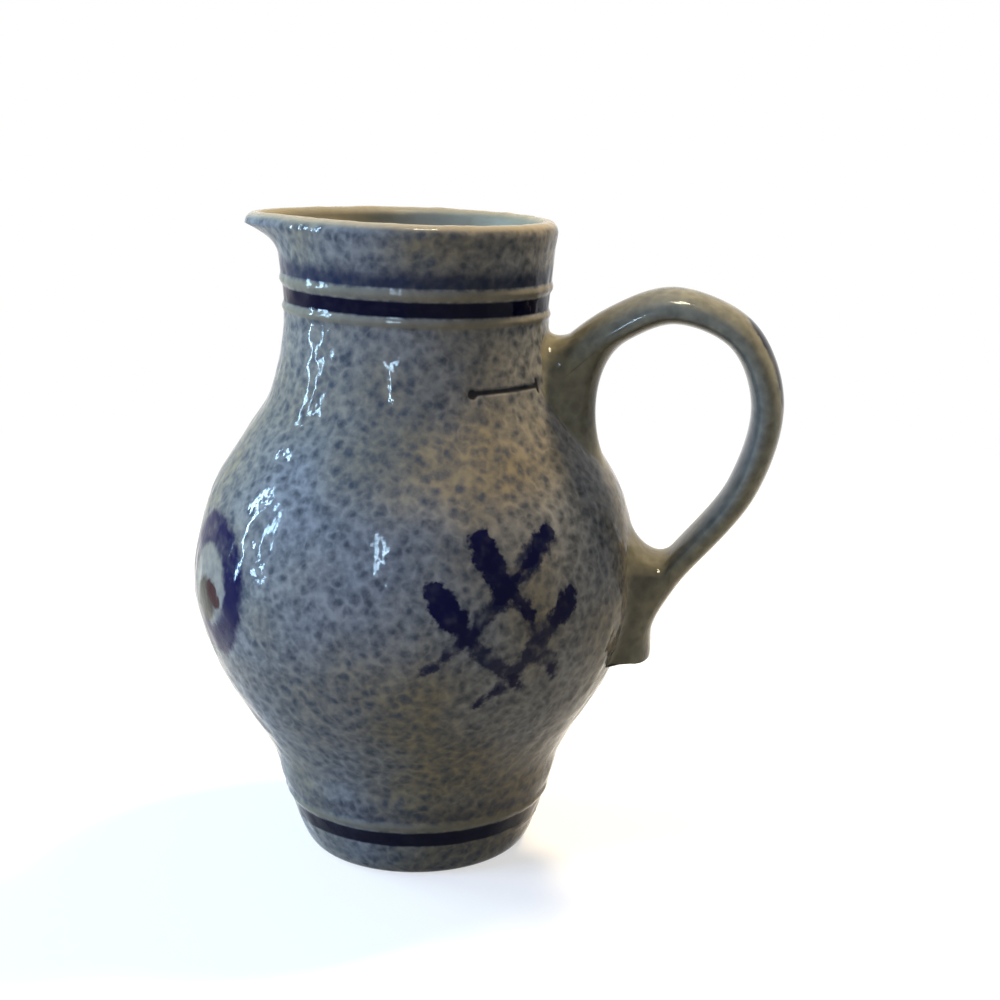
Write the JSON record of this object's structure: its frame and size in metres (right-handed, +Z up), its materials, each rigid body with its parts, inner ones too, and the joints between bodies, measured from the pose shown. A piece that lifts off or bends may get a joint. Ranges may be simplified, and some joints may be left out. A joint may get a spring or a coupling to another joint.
{
  "type": "salt-glazed jug",
  "caption": "Round-bellied salt-glazed stoneware jug with a narrow foot, straight neck, pulled pouring spout, luted strap handle and painted cobalt bands, for serving drinks.",
  "frame": {"origin": "middle of the flat underside of the foot", "axes": "+Z up along the axis the body was thrown on, +X towards the handle, -X towards the spout"},
  "size_m": [0.1083, 0.083, 0.1186],
  "materials": {
    "body_glaze": "grey salt glaze with orange-peel texture",
    "handle_glaze": "smooth grey-beige salt glaze"
  },
  "bodies": {
    "root": {"jug_body": "body_glaze", "handle": "handle_glaze", "upper_luting": "handle_glaze", "lower_luting": "handle_glaze"}
  },
  "joints": []
}
